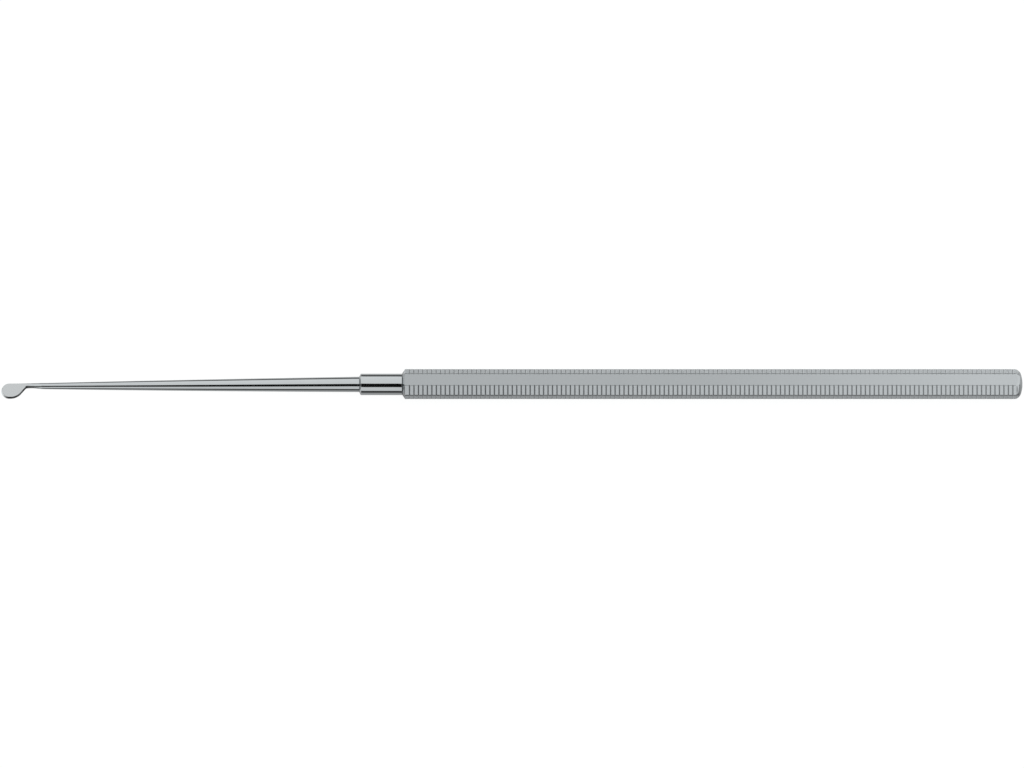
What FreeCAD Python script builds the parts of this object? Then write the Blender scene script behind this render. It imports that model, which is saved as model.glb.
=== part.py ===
import FreeCAD, Part
import math
import os

# An otologic round knife lying on the flat of its grip.
# X runs from the blade's tip to the handle's end and Z is up, all in mm.
# The origin is on the resting surface, under the handle's axis at mid-length.

# Octagonal handle
handle_length = 97.2
across_flats = 4.35
front_cone_length = 0.45
end_shoulder_radius = 1.5
end_crown_radius = 6.0

# Ring grooves of the grip, and the ground face that clears them
groove_pitch = 0.7
groove_width = 0.22
groove_depth = 0.09
first_groove_from_front = 1.13
last_groove_from_end = 0.82
marked_face_margin = 0.01

# Collar
collar_length = 6.6
collar_diameter = 3.35
collar_chamfer_length = 0.22

# Tang and its brazed socket
tang_diameter = 2.2
tang_length = 12.0
tang_chamfer = 0.2
braze_gap = 0.025
socket_end_gap = 0.4

# Tapered shaft, leaning towards the blade's belly by an angle in degrees
shaft_rear_length = 25.9
shaft_front_length = 24.2
shaft_root_diameter = 2.4
shaft_middle_diameter = 1.75
shaft_front_diameter = 0.94
shaft_lean = 0.33

# Neck, from the shaft's front to the ramp that runs out in the blade
neck_taper_length = 1.2
neck_length = 0.55
neck_diameter = 0.78
ramp_length = 1.05
ramp_sink = 0.045

# Flat round blade, whose belly runs back to a heel at the neck
blade_width = 2.45
blade_thickness = 0.5
blade_wall_angle = 12.0
belly_flat = 0.22
belly_radius = 2.2
belly_sweep = 49.0
heel_radius = 0.4
heel_to_neck = 0.27
blade_root_length = 0.7
blade_root_width = 0.3

# Boolean allowances: how far a cutter or a joined solid reaches past what it meets
turning_margin = 0.02
cutter_reach = 0.5
join_overlap = 1.0

FLATS = 8
AXIS_X = FreeCAD.Vector(1, 0, 0)
AXIS_Z = FreeCAD.Vector(0, 0, 1)

# Radii that follow from the sizes above
corner_radius = across_flats / 2 / math.cos(math.pi / FLATS)
collar_radius = collar_diameter / 2
tang_radius = tang_diameter / 2
neck_radius = neck_diameter / 2
blade_radius = blade_width / 2


def point(x, y, z=0.0):
    return FreeCAD.Vector(x, y, z)


def radial(angle):
    """Unit vector in the XY plane, with the angle measured from +X."""
    return point(math.cos(angle), math.sin(angle))


def line(start, end):
    return Part.LineSegment(start, end).toShape()


def arc(start, middle, end):
    return Part.Arc(start, middle, end).toShape()


def lines(*corners):
    return [line(start, end) for start, end in zip(corners, corners[1:])]


def turned(edges):
    """Solid of revolution about the X axis from a closed half outline."""
    return Part.Face(Part.Wire(edges)).revolve(point(0, 0), AXIS_X, 360)


# Centres of the belly and heel arcs, seen from above with the tip at x = 0
sweep = math.radians(belly_sweep)
disc_centre = point(blade_radius, neck_radius - blade_radius)
belly_centre = disc_centre + point(belly_flat, belly_radius - blade_radius)
heel_y = -neck_radius - heel_radius
heel_run = (belly_radius + heel_radius + (heel_y - belly_centre.y) * math.cos(sweep)) / math.sin(sweep)
heel_centre = point(belly_centre.x + heel_run, heel_y)

# Stations along X, from the tip to the handle's end
neck_from_tip = heel_centre.x + heel_to_neck
shaft_from_tip = neck_from_tip + neck_length + neck_taper_length
collar_from_tip = shaft_from_tip + shaft_front_length + shaft_rear_length
overall_length = collar_from_tip + collar_length + handle_length
tip_x = -overall_length / 2
end_x = overall_length / 2
collar_x = tip_x + collar_from_tip
handle_x = collar_x + collar_length


# Handle
def octagon(x, flats):
    """Octagon across the X axis with one flat facing straight up."""
    radius = flats / 2 / math.cos(math.pi / FLATS)
    corners = []
    for corner in range(FLATS + 1):
        angle = math.pi / FLATS * (2 * corner + 1)
        corners.append(point(x, radius * math.cos(angle), radius * math.sin(angle)))
    return Part.makePolygon(corners)


def grooved_bar():
    """Octagonal bar lofted through the edges and bottoms of its V-shaped ring grooves."""
    run = handle_length - first_groove_from_front - last_groove_from_end
    groove_count = math.floor(run / groove_pitch) + 1
    sections = [octagon(handle_x, across_flats)]
    for groove in range(groove_count):
        x = handle_x + first_groove_from_front + groove * groove_pitch
        sections.append(octagon(x - groove_width / 2, across_flats))
        sections.append(octagon(x, across_flats - 2 * groove_depth))
        sections.append(octagon(x + groove_width / 2, across_flats))
    sections.append(octagon(end_x, across_flats))
    return Part.makeLoft(sections, True, True)


def front_cone_cutter():
    """What is turned away to leave the short cone between the collar and the octagon."""
    rim = corner_radius + turning_margin
    rim_run = front_cone_length * (rim - collar_radius) / (corner_radius - collar_radius)
    clear = rim + cutter_reach
    ahead = handle_x - cutter_reach
    return turned(lines(
        point(ahead, collar_radius),
        point(handle_x, collar_radius),
        point(handle_x + rim_run, rim),
        point(handle_x + rim_run, clear),
        point(ahead, clear),
        point(ahead, collar_radius),
    ))


def domed_end_cutter():
    """What is turned away to leave a round shoulder that runs smoothly into a crowned end."""
    clear = corner_radius + cutter_reach
    behind = end_x + cutter_reach
    crown = point(end_x - end_crown_radius, 0)
    shoulder_y = corner_radius + turning_margin - end_shoulder_radius
    tangent_angle = math.asin(shoulder_y / (end_crown_radius - end_shoulder_radius))
    shoulder = crown + radial(tangent_angle) * (end_crown_radius - end_shoulder_radius)
    start = shoulder + point(0, end_shoulder_radius)
    bend = shoulder + radial((tangent_angle + math.pi / 2) / 2) * end_shoulder_radius
    tangent = crown + radial(tangent_angle) * end_crown_radius
    crown_middle = crown + radial(tangent_angle / 2) * end_crown_radius
    pole = point(end_x, 0)
    outside = lines(pole, point(behind, 0), point(behind, clear), point(start.x, clear), start)
    return turned([arc(start, bend, tangent), arc(tangent, crown_middle, pole)] + outside)


def marked_face_cutter():
    """What is ground off the upper flat, just deeper than the grooves."""
    level = across_flats / 2 - groove_depth - marked_face_margin
    corner = point(handle_x - cutter_reach, -across_flats, level)
    return Part.makeBox(handle_length + 2 * cutter_reach, 2 * across_flats, across_flats, corner)


def socket():
    depth = tang_length + socket_end_gap
    return Part.makeCylinder(tang_radius + braze_gap, depth, point(handle_x, 0), AXIS_X)


def octagonal_handle():
    return grooved_bar().cut([front_cone_cutter(), domed_end_cutter(), marked_face_cutter(), socket()])


# Working end
def collar_and_tang():
    """Collar with a steep front chamfer, and the tang behind its seating shoulder."""
    tang_end = handle_x + tang_length
    return turned(lines(
        point(collar_x, 0),
        point(collar_x, tang_radius),
        point(collar_x + collar_chamfer_length, collar_radius),
        point(handle_x, collar_radius),
        point(handle_x, tang_radius),
        point(tang_end - tang_chamfer, tang_radius),
        point(tang_end, tang_radius - tang_chamfer),
        point(tang_end, 0),
        point(collar_x, 0),
    ))


def shaft_and_neck():
    """Long taper that narrows to the neck and runs out in the blade."""
    root = collar_x + join_overlap
    neck = tip_x + neck_from_tip
    shaft_front = tip_x + shaft_from_tip
    ramp_front = neck - ramp_length
    return turned(lines(
        point(root, 0),
        point(root, shaft_root_diameter / 2),
        point(collar_x, shaft_root_diameter / 2),
        point(shaft_front + shaft_front_length, shaft_middle_diameter / 2),
        point(shaft_front, shaft_front_diameter / 2),
        point(neck + neck_length, neck_radius),
        point(neck, neck_radius),
        point(ramp_front, blade_thickness / 2 - ramp_sink),
        point(ramp_front, 0),
        point(root, 0),
    ))


def blade_outline(level, inset):
    """Blade outline at one level, drawn inside the cutting edge by an inset."""
    offset = point(tip_x, 0, level)
    disc = disc_centre + offset
    belly = belly_centre + offset
    heel = heel_centre + offset
    disc_reach = blade_radius - inset
    belly_reach = belly_radius - inset
    heel_reach = heel_radius + inset
    outward = radial(sweep - math.pi / 2)
    half_outward = radial((sweep - math.pi) / 2)
    top = point(heel.x, neck_radius - inset, level)
    disc_top = disc + point(0, disc_reach)
    disc_bottom = disc - point(0, disc_reach)
    belly_start = belly - point(0, belly_reach)
    belly_end = belly + outward * belly_reach
    heel_start = heel - outward * heel_reach
    heel_end = heel + point(0, heel_reach)
    root_low = heel_end + point(blade_root_length, 0)
    root_low.y = -blade_root_width / 2
    root_high = point(root_low.x, blade_root_width / 2, level)
    return Part.Wire([
        line(top, disc_top),
        arc(disc_top, disc - point(disc_reach, 0), disc_bottom),
        line(disc_bottom, belly_start),
        arc(belly_start, belly + half_outward * belly_reach, belly_end),
        line(belly_end, heel_start),
        arc(heel_start, heel - half_outward * heel_reach, heel_end),
        line(heel_end, root_low),
        line(root_low, root_high),
        line(root_high, top),
    ])


def blade():
    """Flat blade whose walls lean in from the cutting edge on its underside."""
    half = blade_thickness / 2
    inset = blade_thickness * math.tan(math.radians(blade_wall_angle))
    return Part.makeLoft([blade_outline(-half, 0.0), blade_outline(half, inset)], True, True)


def working_end():
    front = shaft_and_neck().fuse(blade())
    front.rotate(point(collar_x, 0), AXIS_Z, shaft_lean)
    return collar_and_tang().fuse(front).removeSplitter()


def export(name, shape):
    """Write one piece, lifted so that the handle's lower flat lies at z = 0."""
    lifted = shape.translated(point(0, 0, across_flats / 2))
    lifted.exportStep(os.path.join("parts", name + ".step"))


os.makedirs("parts", exist_ok=True)
export("octagonal_handle", octagonal_handle())
export("working_end", working_end())
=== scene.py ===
import logging
import math
from dataclasses import dataclass, field
from enum import Enum
from typing import Sequence

import bmesh
import bpy
import numpy as np
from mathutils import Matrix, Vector


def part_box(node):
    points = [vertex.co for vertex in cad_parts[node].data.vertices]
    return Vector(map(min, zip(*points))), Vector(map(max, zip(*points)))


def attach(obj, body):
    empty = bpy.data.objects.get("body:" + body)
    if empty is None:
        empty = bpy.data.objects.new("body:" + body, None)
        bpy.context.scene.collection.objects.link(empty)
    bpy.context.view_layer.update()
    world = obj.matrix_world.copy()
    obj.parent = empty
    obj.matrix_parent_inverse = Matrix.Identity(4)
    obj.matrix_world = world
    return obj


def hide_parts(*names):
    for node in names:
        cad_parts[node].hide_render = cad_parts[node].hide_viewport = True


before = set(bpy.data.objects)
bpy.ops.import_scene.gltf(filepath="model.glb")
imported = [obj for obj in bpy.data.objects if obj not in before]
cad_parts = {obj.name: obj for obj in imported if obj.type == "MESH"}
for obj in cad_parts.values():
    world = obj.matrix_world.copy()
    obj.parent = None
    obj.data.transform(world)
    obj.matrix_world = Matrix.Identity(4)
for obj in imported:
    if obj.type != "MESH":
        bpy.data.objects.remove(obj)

MM = 0.001
PICTURE_WIDTH = 1024
BRIGHTEST = 1.2  # Strength of the surroundings, which the greys of their bands are divided by.
UNSHADED_ANGLE = math.radians(110.5)  # Polar angle of the side that faces the camera, which the painted shade on the cone's and chamfer's flanks leaves bright.
SIDES = 8
SIDE_TURN = math.pi / 4
SIDE_POINTS = 8  # Points of a ring on each corner and the face after it.
Array = np.ndarray
Colour = tuple[float, float, float, float]
Inputs = dict[int | str, object]
Bands = tuple[tuple[float, float], ...]
Span = tuple[float, float]
LOG = logging.getLogger("round_knife")


class MaskName(Enum):
    """Per-vertex masks that the meshes carry and the materials read."""

    EDGE = "edge_wear_and_reflection"
    # Painted shade, with grime in the handle's grooves.
    SHADE_AND_GRIME = "painted_shade_and_grime"
    GROUND = "ground_face"
    TURNED = "turned_surface"


class GrainLay(Enum):
    """Which way the lines of a finish run."""

    ALONG = (0.05, 1.0, 1.0)
    AROUND = (1.0, 0.06, 0.06)
    EVEN = (1.0, 1.0, 1.0)
    SLANTED = (0.7, 0.12, 1.0)


# Shapes -------------------------------------------------------------------------------------


def smooth_step(low: float, high: float, value: Array) -> Array:
    """Ease from 0 to 1 as the value goes from low to high.

    Args:
        low: Value at which the result leaves 0.
        high: Value at which the result reaches 1.
        value: Values to ease.

    Returns:
        The eased values, between 0 and 1.
    """
    share = np.clip((value - low) / (high - low), 0.0, 1.0)
    return share * share * (3.0 - 2.0 * share)


def plateau(rise: Span, fall: Span, value: Array) -> Array:
    """Ease from 0 to 1 over one span and back to 0 over another.

    Args:
        rise: Where the result leaves 0 and where it reaches 1.
        fall: Where the result leaves 1 and where it reaches 0.
        value: Values to ease.

    Returns:
        The eased values, between 0 and 1.
    """
    return smooth_step(*rise, value) * (1.0 - smooth_step(*fall, value))


def smooth_min(first: Array, second: Array, blend: float) -> Array:
    """Take the smaller of two surfaces, with a small rounded corner where they cross.

    Args:
        first: Radii of the first surface.
        second: Radii of the second surface.
        blend: Size of the rounding.

    Returns:
        The blended radii.
    """
    near = np.maximum(blend - np.abs(first - second), 0.0) / blend
    return np.minimum(first, second) - near * near * blend * 0.25


def turn_about_z(points: Array, pivot: Array, angle: float) -> Array:
    """Turn points about a vertical axis.

    Args:
        points: Points, with x, y and z in the last dimension.
        pivot: A point on the axis.
        angle: Angle in radians, positive from +X towards +Y.

    Returns:
        The turned points.
    """
    cos, sin = math.cos(angle), math.sin(angle)
    local = points - pivot
    turned = local.copy()
    turned[..., 0] = cos * local[..., 0] - sin * local[..., 1]
    turned[..., 1] = sin * local[..., 0] + cos * local[..., 1]
    return turned + pivot


def circle_rings(places: Sequence[tuple[float, float]], angle: Array) -> Array:
    """Draw rings about the X axis.

    Args:
        places: Position and radius of each ring.
        angle: Polar angle of each point of a ring.

    Returns:
        The rings' points.
    """
    return np.stack([
        np.stack([np.full_like(angle, x), radius * np.cos(angle), radius * np.sin(angle)], axis=1)
        for x, radius in places
    ])


@dataclass
class Skin:
    """Closed mesh skin lofted through rings of points, with a mask value at each point.

    Attributes:
        rings: Points in millimetres, one row of points per ring.
        masks: Mask values by name, shaped like the rings.
        merge_distance: Vertices nearer than this are joined, in metres.
        least_edge: Edges shorter than this are taken out, in metres.
    """

    rings: Array
    masks: dict[MaskName, Array]
    merge_distance: float = 2e-7
    least_edge: float = 1e-7

    def faces(self) -> list[tuple[int, ...]]:
        """List the faces between the rings and the fans that close both ends.

        Returns:
            Vertex numbers of each face, with the two closing points last.
        """
        count, size, _ = self.rings.shape
        start_pole, end_pole, last = count * size, count * size + 1, (count - 1) * size
        steps = [(step, (step + 1) % size) for step in range(size)]
        faces: list[tuple[int, ...]] = []
        for low in range(0, last, size):
            high = low + size
            faces += [(low + step, low + after, high + after, high + step) for step, after in steps]
        for step, after in steps:
            faces += [(start_pole, after, step), (end_pole, last + step, last + after)]
        return faces

    def points(self) -> Array:
        """Return every vertex, with the centres of the first and last ring at the end."""
        centres = np.stack([self.rings[0].mean(axis=0), self.rings[-1].mean(axis=0)])
        return np.concatenate([self.rings.reshape(-1, 3), centres])

    def mask_values(self, name: MaskName) -> Array:
        """Return one mask's value at each vertex, with the two closing points last."""
        mask = self.masks[name]
        return np.concatenate([mask.ravel(), [mask[0].mean(), mask[-1].mean()]])

    def build(self, name: str) -> bpy.types.Object:
        """Make the Blender object, with area-weighted normals that keep flats flat.

        Args:
            name: Name of the object.

        Returns:
            The new object, linked to the scene.
        """
        mesh = bpy.data.meshes.new(name)
        mesh.from_pydata((self.points() * MM).tolist(), [], self.faces())
        for mask in self.masks:
            layer = mesh.attributes.new(mask.value, "FLOAT", "POINT")
            layer.data.foreach_set("value", self.mask_values(mask).astype(np.float32))
        work = bmesh.new()
        work.from_mesh(mesh)
        bmesh.ops.remove_doubles(work, verts=work.verts, dist=self.merge_distance)
        bmesh.ops.dissolve_degenerate(work, edges=work.edges, dist=self.least_edge)
        work.to_mesh(mesh)
        work.free()
        mesh.shade_smooth()
        mesh.normals_split_custom_set_from_vertices(area_weighted_normals(mesh).tolist())
        piece = bpy.data.objects.new(name, mesh)
        bpy.context.scene.collection.objects.link(piece)
        return piece


def area_weighted_normals(mesh: bpy.types.Mesh) -> Array:
    """Work out vertex normals in which each face counts by its area.

    Args:
        mesh: Mesh to measure.

    Returns:
        One unit normal per vertex.
    """
    mesh.calc_loop_triangles()
    points = np.empty(len(mesh.vertices) * 3)
    mesh.vertices.foreach_get("co", points)
    points = points.reshape(-1, 3)
    corners = np.empty(len(mesh.loop_triangles) * 3, dtype=np.int64)
    mesh.loop_triangles.foreach_get("vertices", corners)
    corners = corners.reshape(-1, 3)
    first, second, third = (points[corners[:, i]] for i in range(3))
    areas = np.cross(second - first, third - first)
    normals = np.zeros_like(points)
    for i in range(3):
        np.add.at(normals, corners[:, i], areas)
    return normals / np.maximum(np.linalg.norm(normals, axis=1, keepdims=True), 1e-20)


# Materials ----------------------------------------------------------------------------------


@dataclass
class Bench:
    """Small helper that adds and joins nodes in one tree.

    Attributes:
        tree: Node tree being built.
    """

    tree: bpy.types.NodeTree

    def feed(self, socket: bpy.types.NodeSocket, value: object) -> None:
        """Join an output to a socket, or set the socket's own value.

        Args:
            socket: Input socket.
            value: An output socket, or a number, colour or vector.
        """
        if isinstance(value, bpy.types.NodeSocket):
            self.tree.links.new(value, socket)
        else:
            socket.default_value = value

    def add(self, kind: str, inputs: Inputs | None = None, **settings: object) -> bpy.types.Node:
        """Add a node, set its options and feed its inputs.

        Args:
            kind: Blender's node type.
            inputs: What each input takes, by its number or name.
            **settings: Options by their property name.

        Returns:
            The new node.
        """
        node = self.tree.nodes.new(kind)
        for name, value in settings.items():
            setattr(node, name, value)
        for place, value in (inputs or {}).items():
            self.feed(node.inputs[place], value)
        return node

    def maths(self, operation: str, *numbers: object) -> bpy.types.NodeSocket:
        """Return the result of an operation on numbers or outputs."""
        return self.add("ShaderNodeMath", dict(enumerate(numbers)), operation=operation).outputs[0]

    def spread(self, value: object, *ends: object) -> bpy.types.NodeSocket:
        """Map a range of values on another, with its ends held: from low, from high, to low, to high."""
        return self.add("ShaderNodeMapRange", dict(enumerate((value, *ends))), clamp=True).outputs[0]

    def blend_colours(self, share: object, first: object, second: object) -> bpy.types.NodeSocket:
        """Return two colours mixed, with the share of the second one."""
        return self.add("ShaderNodeMix", {0: share, 6: first, 7: second}, data_type="RGBA").outputs[2]

    def blend_values(self, share: object, first: object, second: object) -> bpy.types.NodeSocket:
        """Return two numbers mixed, with the share of the second one."""
        return self.add("ShaderNodeMix", {0: share, 2: first, 3: second}, data_type="FLOAT").outputs[0]

    def scale(self, vector: object, factor: object) -> bpy.types.NodeSocket:
        """Return a colour or vector multiplied by a number."""
        return self.add("ShaderNodeVectorMath", {0: vector, "Scale": factor}, operation="SCALE").outputs[0]

    def squeeze(self, place: object, factors: object) -> bpy.types.NodeSocket:
        """Return a place multiplied by a factor along each axis."""
        return self.add("ShaderNodeVectorMath", {0: place, 1: factors}, operation="MULTIPLY").outputs[0]

    def project(self, direction: object, axis: Vector) -> bpy.types.NodeSocket:
        """Return the length of a direction along an axis."""
        inputs = {0: direction, 1: tuple(axis)}
        return self.add("ShaderNodeVectorMath", inputs, operation="DOT_PRODUCT").outputs["Value"]

    def noise(self, place: object, per_metre: object, **inputs: object) -> bpy.types.NodeSocket:
        """Return a noise value at a place, with the node's other inputs by name."""
        return self.add("ShaderNodeTexNoise", {"Vector": place, "Scale": per_metre, **inputs}).outputs[0]

    def place(self) -> bpy.types.NodeSocket:
        """Return the surface position in the row frame, in metres."""
        return self.add("ShaderNodeTexCoord").outputs["Object"]

    def along(self, place: bpy.types.NodeSocket) -> bpy.types.NodeSocket:
        """Return the first part of a vector, such as the position along the instrument."""
        return self.add("ShaderNodeSeparateXYZ", {0: place}).outputs[0]

    def mask(self, name: MaskName) -> bpy.types.NodeSocket:
        """Return one of the mesh's masks."""
        node = self.add("ShaderNodeAttribute", attribute_type="GEOMETRY", attribute_name=name.value)
        return node.outputs["Fac"]

    def effect(self, group: bpy.types.NodeTree, inputs: Inputs) -> bpy.types.NodeSocket:
        """Place a shared effect with its own values, and return what it puts out."""
        return self.add("ShaderNodeGroup", inputs, node_tree=group).outputs[0]


def open_group(
    name: str, inputs: dict[str, object], output: str
) -> tuple[Bench, bpy.types.NodeOutputs, bpy.types.NodeSocket]:
    """Start a shader node group with named sockets.

    Args:
        name: Name of the group.
        inputs: Default of each input: a number, or a vector, or None for a vector without one.
        output: Name of the output, a number.

    Returns:
        A bench on the group's tree, what the group is given, and the socket for its result.
    """
    tree = bpy.data.node_groups.new(name, "ShaderNodeTree")
    for label, default in inputs.items():
        kind = "NodeSocketFloat" if isinstance(default, float) else "NodeSocketVector"
        socket = tree.interface.new_socket(name=label, in_out="INPUT", socket_type=kind)
        if default is not None:
            socket.default_value = default
    tree.interface.new_socket(name=output, in_out="OUTPUT", socket_type="NodeSocketFloat")
    bench = Bench(tree)
    return bench, bench.add("NodeGroupInput").outputs, bench.add("NodeGroupOutput").inputs[output]


def build_grain() -> bpy.types.NodeTree:
    """Build the fine grain of a blasted, ground or polished surface.

    Returns:
        The group, which turns a place into a grain value from 0 to 1.
    """
    bench, given, result = open_group(
        "metal_grain",
        {"Place": None, "Stretch": GrainLay.EVEN.value, "Per Metre": 12000.0, "Contrast": 1.0},
        "Grain",
    )
    stretched = bench.squeeze(given["Place"], given["Stretch"])
    fine = bench.noise(stretched, given["Per Metre"], Detail=3.0, Roughness=0.65)
    scaled = bench.maths("MULTIPLY", bench.maths("SUBTRACT", fine, 0.5), given["Contrast"])
    clamped = bench.add("ShaderNodeClamp", {0: bench.maths("ADD", scaled, 0.5)})
    bench.feed(result, clamped.outputs[0])
    return bench.tree


def build_haze() -> bpy.types.NodeTree:
    """Build the slow haze that handling and wiping leave on metal.

    Returns:
        The group, which turns a place into a haze value from 0 to 1.
    """
    bench, given, result = open_group(
        "handling_haze", {"Place": None, "Per Metre": 160.0, "Streaks": 900.0}, "Haze"
    )
    broad = bench.noise(given["Place"], given["Per Metre"], Detail=4.0, Distortion=0.6)
    squeezed = bench.squeeze(given["Place"], GrainLay.ALONG.value)
    streaked = bench.noise(squeezed, given["Streaks"], Detail=2.0)
    both = bench.blend_values(0.35, broad, streaked)
    bench.feed(result, bench.spread(both, 0.36, 0.64, 0.0, 1.0))
    return bench.tree


def build_wear() -> bpy.types.NodeTree:
    """Build the broken line that wear leaves along an edge.

    Returns:
        The group, which turns an edge mask into a wear value from 0 to 1.
    """
    bench, given, result = open_group(
        "edge_wear_and_reflection", {"Place": None, "Edge": 0.0, "Amount": 0.7, "Per Metre": 1500.0}, "Wear"
    )
    broken = bench.noise(given["Place"], given["Per Metre"], Detail=3.0)
    patchy = bench.spread(broken, 0.35, 0.6, 0.7, 1.0)
    worn = bench.maths("MULTIPLY", given["Edge"], patchy)
    bench.feed(result, bench.maths("MULTIPLY", worn, given["Amount"]))
    return bench.tree


@dataclass(frozen=True)
class Effects:
    """Effects that several finishes share.

    Attributes:
        grain: Fine surface grain.
        haze: Slow handling haze.
        wear: Worn edges.
    """

    grain: bpy.types.NodeTree
    haze: bpy.types.NodeTree
    wear: bpy.types.NodeTree


@dataclass(frozen=True)
class Grain:
    """One surface's own grain.

    Attributes:
        lay: Which way its lines run.
        per_metre: How fine it is.
        contrast: How strong it is.
    """

    lay: GrainLay
    per_metre: float
    contrast: float

    def inputs(self, place: bpy.types.NodeSocket) -> Inputs:
        """Return the values that the grain effect takes at a place."""
        values = {"Stretch": self.lay.value, "Per Metre": self.per_metre, "Contrast": self.contrast}
        return {"Place": place, **values}


def start_material(name: str) -> tuple[bpy.types.Material, Bench, bpy.types.Node]:
    """Start a metal material.

    Args:
        name: Name of the material.

    Returns:
        The material, a bench on its nodes and its Principled shader.
    """
    material = bpy.data.materials.new(name)
    material.use_nodes = True
    material.node_tree.nodes.clear()
    bench = Bench(material.node_tree)
    shader = bench.add("ShaderNodeBsdfPrincipled", {"Metallic": 1.0})
    bench.add("ShaderNodeOutputMaterial", {"Surface": shader.outputs[0]})
    return material, bench, shader


@dataclass(frozen=True)
class Surface:
    """What a finish reads at each point of a surface.

    Attributes:
        place: Where the point lies, in metres.
        ground: 1 on ground faces and 0 elsewhere.
        grain: Fine grain, from 0 to 1.
        haze: Film of handling, from 0 to 1.
        wear: Wear along the edges, from 0 to 1.
    """

    place: bpy.types.NodeSocket
    ground: bpy.types.NodeSocket
    grain: bpy.types.NodeSocket
    haze: bpy.types.NodeSocket
    wear: bpy.types.NodeSocket


def read_surface(
    bench: Bench, effects: Effects, grains: tuple[Grain, Grain], film: Inputs, edge_amount: float
) -> Surface:
    """Place the shared effects that every steel surface has.

    Args:
        bench: Bench of the material.
        effects: Shared effects.
        grains: Grain of the body and of the ground faces.
        film: What the haze takes besides the place.
        edge_amount: How much of the edges' wear shows.

    Returns:
        The readings.
    """
    place, ground = bench.place(), bench.mask(MaskName.GROUND)
    body, faces = (bench.effect(effects.grain, grain.inputs(place)) for grain in grains)
    edges = {"Place": place, "Edge": bench.mask(MaskName.EDGE), "Amount": edge_amount}
    haze, wear = bench.effect(effects.haze, {"Place": place, **film}), bench.effect(effects.wear, edges)
    return Surface(place, ground, bench.blend_values(ground, body, faces), haze, wear)


def finish_metal(
    bench: Bench, shader: bpy.types.Node, colour: object, rough: object, height: object, depth_mm: float
) -> None:
    """Give a metal its colour and roughness, and press a fine relief into it.

    Args:
        bench: Bench of the material.
        shader: Principled shader of the material.
        colour: Colour of the surface.
        rough: Roughness of the surface.
        height: Relief from 0 to 1.
        depth_mm: Depth of the relief in millimetres.
    """
    bump = bench.add("ShaderNodeBump", {"Strength": 1.0, "Distance": depth_mm * MM, "Height": height})
    bench.feed(shader.inputs["Base Color"], colour)
    bench.feed(shader.inputs["Roughness"], rough)
    bench.feed(shader.inputs["Normal"], bump.outputs[0])


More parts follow.
